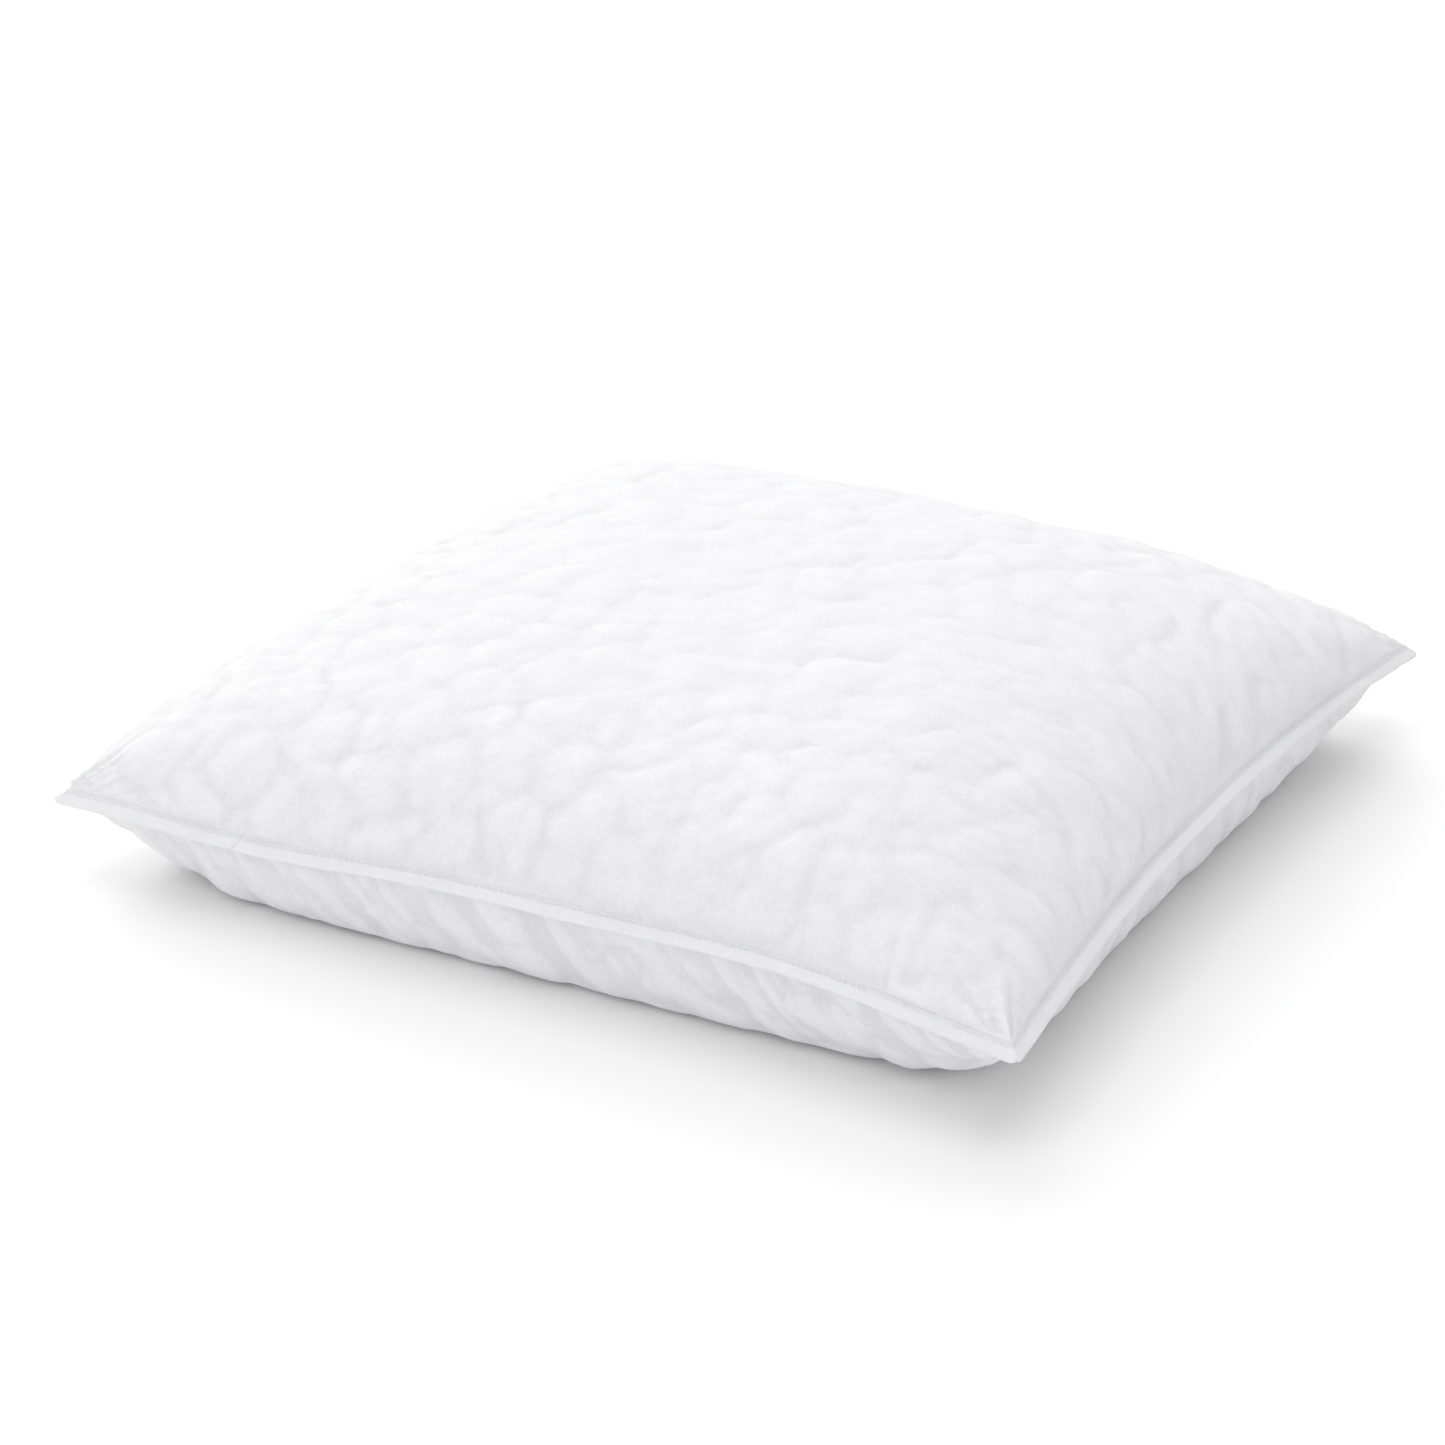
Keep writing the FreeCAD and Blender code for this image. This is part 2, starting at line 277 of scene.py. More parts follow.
def scatter(low, high, overlap, half, seed):
    """Places and radii over a square from -half to half, no two closer than overlap allows."""
    rng = np.random.default_rng(seed)
    size = int(2 * half / high) + 3
    bins = [[[] for _ in range(size)] for _ in range(size)]
    found = []
    tries = int(7 * (2 * half / low) ** 2)
    radii = np.sort(low + (high - low) * rng.random(tries) ** SMALL_BIAS)[::-1]
    places = rng.uniform(-half, half, (tries, 2))
    for radius, (u, v) in zip(radii, places):
        i, j = int((u + half) / high) + 1, int((v + half) / high) + 1
        near = [p for a in (-1, 0, 1) for b in (-1, 0, 1) for p in bins[i + a][j + b]]
        if all((p[0] - u) ** 2 + (p[1] - v) ** 2 > (overlap * (p[2] + radius)) ** 2 for p in near):
            bins[i][j].append((u, v, radius))
            found.append((u, v, radius))
    return found


def arc_round_corner(u, v, half):
    """(direction of the arc round the nearest corner that passes a place, radius of that arc)."""
    away_u, away_v = u - math.copysign(half, u), v - math.copysign(half, v)
    return math.atan2(away_u, -away_v), max(math.hypot(away_u, away_v), 0.03)


def add_bump(field, U, V, place, sizes, angle, bend, height, soft):
    """Adds one rounded bump, bent along its length, to a field that sums exp(height / soft)."""
    long, short = sizes
    room_for_bend = 0.012
    reach = long * 1.25 + room_for_bend
    rows = np.flatnonzero(np.abs(U[:, U.shape[1] // 2] - place[0]) < reach)
    columns = np.flatnonzero(np.abs(V[V.shape[0] // 2, :] - place[1]) < reach)
    if not len(rows) or not len(columns):
        return
    block = np.ix_(rows, columns)
    du, dv = U[block] - place[0], V[block] - place[1]
    along = du * math.cos(angle) + dv * math.sin(angle)
    across = dv * math.cos(angle) - du * math.sin(angle) + bend * along ** 2 / 2
    inside = np.clip(1 - (along / long) ** 2 - (across / short) ** 2, 0, 1)
    field[block] += np.expm1(height * inside ** LUMP_DOME / soft)


def share_of_right(u, v):
    """1 on the right flank, 0 over the rest of a panel."""
    return float(step_up(np.float64(u - abs(v) * 0.6), 0.02, 0.22))


def pull_of_edge(u, v, half, top):
    """How much the cloth's pull stretches the lumps at a place: 0 is not at all."""
    to_edge = max(half - max(abs(u), abs(v)), 0)
    on_right = share_of_right(u, v)
    pull = math.exp(-to_edge / PULL_REACH) * (0.75 + 0.9 * on_right) + 0.8 * on_right
    return pull if top else 0.45 + 0.9 * pull


def lump_layer(U, V, top, layer, seed):
    """Height of one layer of lumps: bumps merged with soft creases between them."""
    low, high, overlap, share = layer
    half = FLAT / 2
    soft = LUMP_MERGE
    field = np.ones_like(U)
    rng = np.random.default_rng(seed + 1)
    for u, v, radius in scatter(low, high, overlap, half, seed):
        pull = pull_of_edge(u, v, half, top)
        angle, turn = arc_round_corner(u, v, half)
        angle += rng.normal(0, 0.55 / (1 + 1.4 * pull))
        if top:
            near_seam = math.exp(-(half - u) / 0.06)
            angle -= RIGHT_TURN * share_of_right(u, v) * (0.45 + 0.55 * near_seam)
        else:
            angle -= LOWER_SLANT
        stretch = 1 + 0.30 * pull
        sizes = radius * stretch, radius / stretch
        height = share * radius * rng.uniform(0.6, 1.2)
        height *= 1 - 0.42 * share_of_right(u, v) if top else 1.35
        bend = -math.copysign(1, u * v) * min(pull, 1) / turn
        add_bump(field, U, V, (u, v), sizes, angle, bend, height, soft)
    return soft * np.log(field)


def lump_field(U, V, top, seed):
    """Height of the lumps over a panel: clumps of fibre with smaller tufts on them."""
    total = np.zeros_like(U)
    for layer in LUMP_LAYERS:
        size = layer[1]
        warped_u = U + 0.26 * size * patch_noise(U, V, 0.9 * size, seed + 30)
        warped_v = V + 0.26 * size * patch_noise(U, V, 0.9 * size, seed + 31)
        total += lump_layer(warped_u, warped_v, top, layer, seed)
        seed += 1000
    return total


def gathers(U, V, from_edge, seed, reach, height, slant):
    """Ridges that start at the seam and fade out over reach."""
    along, side = nearest_side(U, V)
    swirl = np.where(np.abs(U) > np.abs(V), np.sign(U), -np.sign(V))
    slanted = along - slant * from_edge * swirl
    ridges = wave_noise(slanted + side, 0.050, seed)
    fine = wave_noise(slanted * 1.3 + side, 0.014, seed + 3)
    fade = np.exp(-from_edge / reach) * np.where(np.abs(U) > np.abs(V), 0.45, 1.0)
    return height * fade * (ridges + 0.45 * fine * np.exp(-from_edge / (0.4 * reach)))


def corner_wrinkles(U, V, seed):
    """Short creases that lie round each corner tip, like the folds of a sleeve at the wrist."""
    half = FLAT / 2
    cu, cv = half - np.abs(U), half - np.abs(V)
    distance = np.hypot(cu, cv)
    which = np.sign(U) * 1.7 + np.sign(V) * 4.3
    uneven = distance + 0.005 * patch_noise(U, V, 0.016, seed + 2)
    creases = 0.6 - 2 * np.abs(wave_noise(uneven + which, 0.022, seed)) ** 0.6
    fans = wave_noise(0.05 * np.arctan2(cv, cu) + which, 0.020, seed + 4)
    side = np.clip(np.minimum(cu, cv) / 0.006, 0, 1)
    arcs = ARC_WRINKLE * creases * np.exp(-((distance - 0.026) / 0.020) ** 2)
    fans *= FAN_WRINKLE * np.exp(-((distance - 0.034) / 0.026) ** 2)
    return side * (arcs + fans)


def left_ridge(U, V):
    """The long soft fold that runs from the front left corner along the left side."""
    inwards, backwards = U + FLAT / 2, V + FLAT / 2
    line = 0.012 + 0.10 * backwards
    along = step_up(backwards, 0.015, 0.06) * (1 - step_up(backwards, 0.16, 0.30))
    return LEFT_RIDGE * along * np.exp(-((inwards - line) / RIDGE_HALF_WIDTH) ** 2)


def joint_creases(U, V, from_edge, top):
    """The creases that run from the places where the two tapes overlap."""
    total = np.zeros_like(U)
    for end, size in ((GAP_RIGHT, 1.0), (GAP_LEFT, 0.45)):
        beside = U - end * FLAT / WIDTH
        if top:
            reach, width, slant, height = 0.028, 0.030, 0.0, 0.0026
        else:
            reach, width, slant, height = 0.045, 0.026, 0.75, 0.0032
        slanted = beside - slant * from_edge
        fold = step_up(slanted, -0.0022, 0.0022) * np.exp(-np.abs(slanted) / width)
        total += size * height * (V < 0) * np.exp(-from_edge / reach) * fold
    return total


def smooth(field, passes):
    """A small blur of a grid, which rounds its creases."""
    for _ in range(passes):
        padded = np.pad(field, 1, mode="edge")
        field = (padded[:-2, 1:-1] + padded[2:, 1:-1] + padded[1:-1, :-2] + padded[1:-1, 2:]
                 + 4 * field) / 8
    return field


def cloth_coordinates(base):
    """U and V on the flat cloth, from its middle, and the distance over the cloth to its edge."""
    U, V = arc_lengths(base, 0), arc_lengths(base, 1)
    ends_u = np.minimum(U - U[:1], U[-1:] - U)
    ends_v = np.minimum(V - V[:, :1], V[:, -1:] - V)
    U *= FLAT / 2 / U[-1, PANEL_CELLS // 2]
    V *= FLAT / 2 / V[PANEL_CELLS // 2, -1]
    return U, V, np.minimum(ends_u, ends_v)


def panel_relief(U, V, from_edge, top):
    """(all that stands out from the smooth panel, the part of it that is lumps)."""
    seed = SEED if top else SEED + 50
    lumps = smooth(lump_field(U, V, top, seed), 1)
    lumps -= np.median(lumps)
    for height, size, step in UNEVEN:
        lumps += height * patch_noise(U, V, size, seed + step)
    reach, height, slant = (0.040, 0.0008, 0.15) if top else (0.090, 0.0026, LOWER_SLANT)
    folds = gathers(U, V, from_edge, seed + 7, reach, height, slant)
    folds += corner_wrinkles(U, V, seed + 9) + joint_creases(U, V, from_edge, top)
    if top:
        folds += left_ridge(U, V)
    relief = lumps * step_up(from_edge, 0.0, 0.016) + folds * step_up(from_edge, 0, 0.006)
    return relief, lumps


def panel_points(top):
    """(points of a lumpy panel, its cloth coordinates, heights above its blurred surface that set
    the painted shade in the hollows).
    """
    shares = even_shares(PANEL_CELLS, top)
    s, t = np.meshgrid(shares, shares, indexing="ij")
    base = panel_base(s, t, top)
    U, V, from_edge = cloth_coordinates(base)
    relief, lumps = panel_relief(U, V, from_edge, top)
    if not top:
        clear_of_floor = step_up(base[:, :, 2], 0.0, 0.012)
        on_right = step_up(U - np.abs(V), 0.0, 0.03)
        relief *= clear_of_floor * (1 - 0.5 * on_right)
    normal = normals_of(base) * (1 if top else -1)
    points = base + normal * relief[:, :, None]
    if not top:
        creases = 0.5 * np.clip(np.quantile(lumps, 0.8) - lumps, 0, 0.004)
        contact = 1 - step_up(base[:, :, 2], 0.0005, 0.010)
        points[:, :, 2] = np.maximum(points[:, :, 2], 0) + creases * contact
    # Depth of the hollows for the painted shade in the cover's colour, made stronger near the
    # seams.
    strength = 1.20 - 0.75 * step_up(from_edge, 0.06, 0.20)
    hollow_shade_depth = (relief - smooth(relief, BLUR_PASSES)) * strength
    return points, np.stack([U, V], -1), hollow_shade_depth


# ---- meshes --------------------------------------------------------------------------------

def new_piece(name, vertices, faces, material, smooth_shading=True):
    """A mesh object from arrays of points and of faces."""
    mesh = bpy.data.meshes.new(name)
    mesh.from_pydata(np.asarray(vertices).tolist(), [], np.asarray(faces).tolist())
    mesh.validate()
    if smooth_shading:
        mesh.shade_smooth()
    mesh.materials.append(material)
    piece = bpy.data.objects.new(name, mesh)
    bpy.context.scene.collection.objects.link(piece)
    return piece


def grid_faces(rows, columns, wrap_columns=False, flip=False):
    """Quads over a grid of points stored row by row."""
    i, j = np.meshgrid(np.arange(rows - 1), np.arange(columns - (0 if wrap_columns else 1)),
                       indexing="ij")
    k = (j + 1) % columns
    quads = [i * columns + j, (i + 1) * columns + j, (i + 1) * columns + k, i * columns + k]
    faces = np.stack(quads, -1).reshape(-1, 4)
    return faces[:, ::-1] if flip else faces


def store_values(piece, name, values):
    """A number per vertex, for the material to read."""
    attribute = piece.data.attributes.new(name, "FLOAT", "POINT")
    attribute.data.foreach_set("value", np.asarray(values, np.float32).ravel())


def store_cloth_map(piece, coordinates):
    """A UV map that holds each vertex's place on the flat cloth, in metres."""
    layer = piece.data.uv_layers.new(name="cloth")
    loops = np.zeros(len(piece.data.loops), np.int32)
    piece.data.loops.foreach_get("vertex_index", loops)
    flat = np.asarray(coordinates, np.float32).reshape(-1, 2)
    layer.data.foreach_set("uv", flat[loops].ravel())


def finish_piece(piece, slot, *nodes):
    """Puts a piece in the frame: what it rides on, and the nodes it stands for, which are hidden.
    slot is not used.
    """
    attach(piece, "root")
    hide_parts(*nodes)
    return piece


# ---- materials -----------------------------------------------------------------------------

class Nodes:
    """Short ways to add shader nodes to a new material."""

    def __init__(self, name):
        self.material = bpy.data.materials.new(name)
        self.material.use_nodes = True
        self.tree = self.material.node_tree
        self.shader = self.tree.nodes["Principled BSDF"]

    def add(self, kind, inputs=None, **settings):
        node = self.tree.nodes.new(kind)
        for key, value in settings.items():
            setattr(node, key, value)
        for key, value in (inputs or {}).items():
            if isinstance(value, bpy.types.NodeSocket):
                self.tree.links.new(value, node.inputs[key])
            else:
                node.inputs[key].default_value = value
        return node

    def math(self, operation, a, b):
        return self.add("ShaderNodeMath", {0: a, 1: b}, operation=operation).outputs[0]

    def noise(self, vector, scale, detail=2.0, roughness=0.5):
        inputs = {"Vector": vector, "Scale": scale, "Detail": detail, "Roughness": roughness}
        return self.add("ShaderNodeTexNoise", inputs).outputs["Fac"]

    def stretched(self, vector, scale):
        return self.add("ShaderNodeMapping", {"Vector": vector, "Scale": scale}).outputs[0]

    def attribute(self, name):
        return self.add("ShaderNodeAttribute", attribute_name=name).outputs["Fac"]

    def cloth_map(self):
        return self.add("ShaderNodeUVMap", uv_map="cloth").outputs[0]

    def place(self):
        return self.add("ShaderNodeTexCoord").outputs["Object"]

    def ramp(self, value, low, high):
        """A colour between two, by a value from 0 to 1."""
        node = self.add("ShaderNodeValToRGB", {"Fac": value})
        node.color_ramp.elements[0].color = low
        node.color_ramp.elements[1].color = high
        return node.outputs[0]

    def remap(self, value, low, high, new_low, new_high):
        inputs = {0: value, 1: low, 2: high, 3: new_low, 4: new_high}
        return self.add("ShaderNodeMapRange", inputs).outputs[0]

    def bump(self, height, distance, strength=1.0, normal=None):
        inputs = {"Height": height, "Distance": distance, "Strength": strength}
        if normal is not None:
            inputs["Normal"] = normal
        return self.add("ShaderNodeBump", inputs).outputs[0]

    def finish(self, colour, roughness, normal, sheen=0.0, sheen_roughness=0.5, specular=0.2):
        shader = self.shader
        self.tree.links.new(colour, shader.inputs["Base Color"])
        if isinstance(roughness, bpy.types.NodeSocket):
            self.tree.links.new(roughness, shader.inputs["Roughness"])
        else:
            shader.inputs["Roughness"].default_value = roughness
        self.tree.links.new(normal, shader.inputs["Normal"])
        shader.inputs["Sheen Weight"].default_value = sheen
        shader.inputs["Sheen Roughness"].default_value = sheen_roughness
        shader.inputs["Specular IOR Level"].default_value = specular
        return self.material


def cover_material():
    """Brushed white microfibre: slubs both ways, fuzzy speckle, and painted shade that greys the
    creases between the lumps.
    """
    n = Nodes("cover_cloth")
    cloth = n.cloth_map()
    warp = n.noise(n.stretched(cloth, (1500, 90, 1)), 1.0, 3.0, 0.6)
    weft = n.noise(n.stretched(cloth, (110, 1300, 1)), 1.0, 3.0, 0.6)
    slubs = n.math("ADD", warp, weft)
    haze = n.noise(n.place(), 45.0, 4.0, 0.6)
    fuzz = n.noise(n.place(), 380.0, 4.0, 0.75)
    patches = n.remap(n.noise(n.place(), 22.0, 2.0, 0.5), 0.35, 0.65, 0.50, 1.2)
    # Painted shade: the colour darkens where the cloth lies below its blurred surface, by a depth
    # that varies in patches.
    painted_crease_shade = n.remap(n.attribute("painted_shade_hollow"), -0.00055, 0.00035, -0.6, 0.4)
    painted_crease_shade = n.math("ADD", n.math("MULTIPLY", painted_crease_shade, patches), 0.6)
    speckle = n.remap(fuzz, 0.35, 0.65, 0.0, 1.0)
    shade = n.math("ADD", n.math("MULTIPLY", painted_crease_shade, 0.33), n.math("MULTIPLY", speckle, 0.26))
    shade = n.math("ADD", shade, n.math("MULTIPLY", haze, 0.22))
    shade = n.math("ADD", shade, n.math("MULTIPLY", slubs, 0.10))
    colour = n.ramp(shade, (0.682, 0.682, 0.698, 1), (0.882, 0.882, 0.897, 1))
    weave = n.bump(slubs, 0.00022, 0.55)
    normal = n.bump(fuzz, 0.00035, 0.6, weave)
    return n.finish(colour, 0.92, normal, sheen=0.25, sheen_roughness=0.6, specular=0.12)


def tape_material():
    """Dense white tape with a fine rib across it."""
    n = Nodes("binding_tape")
    cloth = n.cloth_map()
    rib = n.noise(n.stretched(cloth, (1400, 160, 1)), 1.0, 2.0, 0.5)
    run = n.noise(n.stretched(cloth, (120, 1800, 1)), 1.0, 2.0, 0.5)
    haze = n.noise(n.place(), 60.0, 3.0, 0.6)
    threads = n.math("ADD", rib, run)
    across = n.add("ShaderNodeSeparateXYZ", {"Vector": cloth}).outputs["Y"]
    # The tape's colour is darker over its stitched inner strip and lighter from halfway across it,
    # on round the fold.
    lighter_past_stitch_strip = n.remap(across, 0.25 * TAPE, 0.50 * TAPE, 0.0, 0.30)
    shade = n.math("ADD", n.math("MULTIPLY", haze, 0.2), n.math("MULTIPLY", threads, 0.35))
    shade = n.math("ADD", shade, lighter_past_stitch_strip)
    colour = n.ramp(shade, (0.700, 0.700, 0.713, 1), (0.860, 0.860, 0.873, 1))
    normal = n.bump(threads, 0.00050, 0.7)
    return n.finish(colour, 0.85, normal, sheen=0.2, specular=0.2)


def thread_material():
    """Spun polyester thread, with its twist."""
    n = Nodes("sewing_thread")
    twist = n.noise(n.stretched(n.place(), (2600, 2600, 2600)), 1.0, 1.0, 0.5)
    colour = n.ramp(twist, (0.76, 0.76, 0.775, 1), (0.86, 0.86, 0.875, 1))
    normal = n.bump(twist, 0.0001, 0.5)
    return n.finish(colour, 0.6, normal, sheen=0.15, specular=0.35)


def label_material():
    """Plain satin ribbon with a fine weft and a soft shine."""
    n = Nodes("label_satin")
    cloth = n.cloth_map()
    weft = n.noise(n.stretched(cloth, (90, 4200, 1)), 1.0, 2.0, 0.5)
    warp = n.noise(n.stretched(cloth, (3200, 240, 1)), 1.0, 2.0, 0.5)
    colour = n.ramp(n.math("MULTIPLY", n.math("ADD", weft, warp), 0.5),
                    (0.80, 0.805, 0.815, 1), (0.93, 0.932, 0.94, 1))
    roughness = n.remap(weft, 0.2, 0.8, 0.34, 0.5)
    normal = n.bump(weft, 0.00008, 0.6)
    return n.finish(colour, roughness, normal, sheen=0.1, specular=0.5)


def fill_material():
    """Matte white polyester fibre, clouded at several scales."""
    n = Nodes("fibre_fill")
    place = n.place()
    cloud = n.noise(place, 70.0, 5.0, 0.65)
    fibres = n.noise(n.stretched(place, (2500, 500, 900)), 1.0, 4.0, 0.7)
    shade = n.math("ADD", n.math("MULTIPLY", cloud, 0.6), n.math("MULTIPLY", fibres, 0.4))
    colour = n.ramp(shade, (0.84, 0.845, 0.855, 1), (0.95, 0.952, 0.957, 1))
    normal = n.bump(fibres, 0.0006, 0.7)
    return n.finish(colour, 0.95, normal, sheen=0.35, specular=0.1)


# ---- the panels ----------------------------------------------------------------------------

def cover_panel(name, top, material):
    """One panel of the cover, from seam to seam."""
    points, cloth, hollow_shade_depth = panel_points(top)
    count = PANEL_CELLS + 1
    piece = new_piece(name, points.reshape(-1, 3), grid_faces(count, count, flip=not top), material)
    store_cloth_map(piece, cloth)
    # The depth of the hollows is stored for the painted shade in the cover's colour.
    store_values(piece, "painted_shade_hollow", hollow_shade_depth)
    return piece


# ---- the edge tape -------------------------------------------------------------------------

def edge_shares():
    """Places along the edge, anticlockwise from the front left corner: (s, t, distance)."""
    count = int(WIDTH / TAPE_STEP)
    run = np.linspace(-1, 1, count, endpoint=False)
    full = np.ones(count)
    s = np.concatenate([run, full, -run, -full])
    t = np.concatenate([-full, run, full, -run])
    x, y = plan(s, t, 0.0)
    steps = np.hypot(np.roll(x, -1) - x, np.roll(y, -1) - y)
    distance = np.concatenate([[0], np.cumsum(steps)[:-1]])
    return s, t, distance


def tape_frame(s, t, distance):
    """The tape's inner line, its way outwards and its upward normal, at places on the edge."""
    inner = np.stack(inner_line(s, t), -1)
    tip = np.stack([*plan(s, t, 0.0), edge_height(s, t)], -1)
    reach = tip - inner
    width = np.linalg.norm(reach, axis=1, keepdims=True)
    out = reach / width
    tangent = np.roll(tip, -1, axis=0) - np.roll(tip, 1, axis=0)
    tangent /= np.linalg.norm(tangent, axis=1, keepdims=True)
    normal = np.cross(out, tangent)
    normal /= np.linalg.norm(normal, axis=1, keepdims=True)
    turn = (tape_tilt(s, t) - TAPE_TILT)[:, None]
    out = out * np.cos(turn) - normal * np.sin(turn)
    normal = np.cross(out, tangent)
    normal /= np.linalg.norm(normal, axis=1, keepdims=True)
    corner = (1 - np.minimum(np.abs(s), np.abs(t))) * WIDTH / 2
    rounded = 1 - TIP_TRIM * np.exp(-(corner / TIP_REACH) ** 2)
    ripple = 1 + 0.05 * wave_noise(distance, 0.140, 11)
    return inner, out, normal, width * rounded[:, None] * ripple[:, None]


def tape_profile():
    """Places across the tape and heights above its middle, round the fold from top to bottom."""
    top = [(-0.10, TAPE_HALF * 0.35), (-0.09, TAPE_HALF * 1.0), (0.02, TAPE_HALF * 1.1),
           (0.11, TAPE_HALF * 0.85), (STITCH_AT, TAPE_HALF * 0.60), (0.26, TAPE_HALF * 0.85),
           (0.40, TAPE_HALF * 1.10), (0.54, TAPE_HALF * 1.25), (0.68, TAPE_HALF * 1.35)]
    fold = []
    roll = TAPE_ROLL / TAPE
    for k in range(9):
        angle = math.pi / 2 - math.pi * k / 8
        fold.append((1 - roll + roll * math.cos(angle), TAPE_ROLL * math.sin(angle)))
    bottom = [(max(across, 0.0), -height) for across, height in reversed(top[1:])]
    return np.array(top + fold + bottom)


def swell(distance, seed):
    """Soft changes of the tape's thickness along its length."""
    return 1 + 0.10 * wave_noise(distance, 0.110, seed)


def tape_points(s, t, distance, lift=0.0, squeeze=1.0):
    """The grid of points of a stretch of tape."""
    inner, out, normal, width = tape_frame(s, t, distance)
    profile = tape_profile()
    scallop = SCALLOP * np.cos(2 * np.pi * distance / STITCH)
    across = profile[None, :, 0] * np.ones((len(s), 1))
    near_edge = np.exp(-((across + 0.05) / 0.09) ** 2)
    across = across * width + near_edge * scallop[:, None]
    height = profile[None, :, 1] * swell(distance, 21)[:, None] * squeeze + lift
    pulled = np.exp(-((profile[None, :, 0] - STITCH_AT) / 0.09) ** 2)
    dimple = DIMPLE * np.cos(2 * np.pi * distance / STITCH)[:, None]
    height = height + pulled * dimple * np.sign(profile[None, :, 1])
    sideways = out[:, None] * across[:, :, None]
    return inner[:, None] + sideways + normal[:, None] * height[:, :, None]


def tape_piece(name, pick, material, lift, squeeze):
    """The tape along the picked places of the edge, which run in one stretch."""
    s, t, distance = (values[pick] for values in edge_shares())
    points = tape_points(s, t, distance, lift, squeeze)
    rows, columns = points.shape[:2]
    piece = new_piece(name, points.reshape(-1, 3), grid_faces(rows, columns), material)
    profile = tape_profile()
    girth = np.concatenate([[0], np.cumsum(np.hypot(*np.diff(profile * [TAPE, 1], axis=0).T))])
    cloth = np.stack(np.broadcast_arrays(distance[:, None], girth[None, :]), -1)
    store_cloth_map(piece, cloth)
    return piece


def picks():
    """Places along the edge that the main tape covers, and those that the closing tape covers."""
    s, t, distance = edge_shares()
    x = plan(s, t, 0.0)[0]
    closing = np.flatnonzero((t == -1) & (x > GAP_LEFT) & (x < GAP_RIGHT))
    first, last = closing[0], closing[-1]
    main = np.concatenate([np.arange(last - 3, len(s)), np.arange(0, first + 4)])
    return main, closing


# ---- stitches ------------------------------------------------------------------------------

def stitch_rows(name, pick, side, material):
    """Separate lockstitches along the tape, on its top (side 1) or its underside (side -1)."""
    s, t, distance = (values[pick] for values in edge_shares())
    inner, out, normal, width = tape_frame(s, t, distance)
    line = inner + out * width * STITCH_AT + normal * side * TAPE_HALF * 0.62
    run = np.concatenate([[0], np.cumsum(np.linalg.norm(np.diff(line, axis=0), axis=1))])
    count = int(run[-1] / STITCH)
    sections, ring = 7, 6
    vertices, faces = [], []
    for k in range(count):
        middle = (k + 0.5) * STITCH
        along = middle + np.linspace(-0.5, 0.5, sections) * STITCH_LENGTH
        spine = np.stack([np.interp(along, run, line[:, axis]) for axis in range(3)], -1)
        up = np.stack([np.interp(along, run, normal[:, axis]) for axis in range(3)], -1) * side
        bend = np.linspace(-1, 1, sections)
        spine += up * (0.00030 * (1 - bend ** 4) - 0.00012)[:, None]
        forward = spine[-1] - spine[0]
        forward /= np.linalg.norm(forward)
        sideways = np.cross(forward, up)
        radius = STITCH_RADIUS * np.sqrt(np.clip(1.04 - bend ** 6, 0.05, 1))
        for m in range(ring):
            turn = 2 * np.pi * m / ring
            outwards = math.cos(turn) * up + math.sin(turn) * sideways
            vertices.append(spine + radius[:, None] * outwards)
        start = k * sections * ring
        for m in range(ring):
            for a in range(sections - 1):
                b, c = start + m * sections + a, start + (m + 1) % ring * sections + a
                faces.append((b, c, c + 1, b + 1))
    return new_piece(name, np.concatenate(vertices), faces, material)


# ---- the care label ------------------------------------------------------------------------

def care_label(material):
    """A blank folded strip of satin that hangs, a little curled, from under the back tape."""
    across, down = 17, 61
    middle = (LABEL_LOW.x + LABEL_HIGH.x) / 2
    width = LABEL_HIGH.x - LABEL_LOW.x
    drop = LABEL_HIGH.z - LABEL_LOW.z
    y0 = LABEL_LOW.y
    gap = LABEL_HIGH.y - LABEL_LOW.y
    u = np.linspace(-0.5, 0.5, across)[None, :]
    w = np.linspace(-1, 1, down)[:, None]
    hang = 1 - np.abs(w) ** 1.15
    leaf = np.sign(w) * np.abs(w) ** 0.35
    curl = 0.0022 * np.sin(3.0 * hang + 4 * u) * hang
    x = middle + width * u + 0.0010 * hang * np.sin(2.0 * u + 1)
    y = y0 + gap / 2 + gap / 2 * leaf * (0.4 + 0.6 * np.sin(np.pi * np.clip(hang, 0, 1))) + curl
    z = LABEL_HIGH.z - drop * hang + 0 * u
    points = np.stack(np.broadcast_arrays(x, y, z), -1)
    piece = new_piece("care_label_strip", points.reshape(-1, 3), grid_faces(down, across), material)
    cloth = np.stack(np.broadcast_arrays(width * u, drop * w), -1)
    store_cloth_map(piece, cloth)
    return piece


# ---- the fibre fill ------------------------------------------------------------------------

def ball(divisions):
    """Points on a unit sphere with even faces, and its triangles."""
    bpy.ops.mesh.primitive_ico_sphere_add(subdivisions=divisions, radius=1.0)
    sample = bpy.context.active_object
    points = np.array([v.co for v in sample.data.vertices])
    faces = np.array([p.vertices for p in sample.data.polygons])
    bpy.data.objects.remove(sample)
    return points, faces


def tufted(points, size, depth, seed):
    """Points of a clump pushed in and out, so that it looks like matted fibre."""
    x, y, z = points.T
    coarse = patch_noise(x + 0.7 * z, y - 0.4 * z, size, seed)
    fine = patch_noise(x - 0.6 * y, z + 0.3 * y, size / 2.6, seed + 1)
    return depth * (coarse + 0.5 * fine)


def shares_at(x, y):
    """The shares (s, t) of places on the plan, by repeated division."""
    s, t = x / (WIDTH / 2), y / (DEPTH / 2)
    for _ in range(12):
        reach_x, reach_y = plan(1.0, t, TAPE)[0], plan(s, 1.0, TAPE)[1]
        s, t = np.clip(x / reach_x, -0.99, 0.99), np.clip(y / reach_y, -0.99, 0.99)
    return s, t


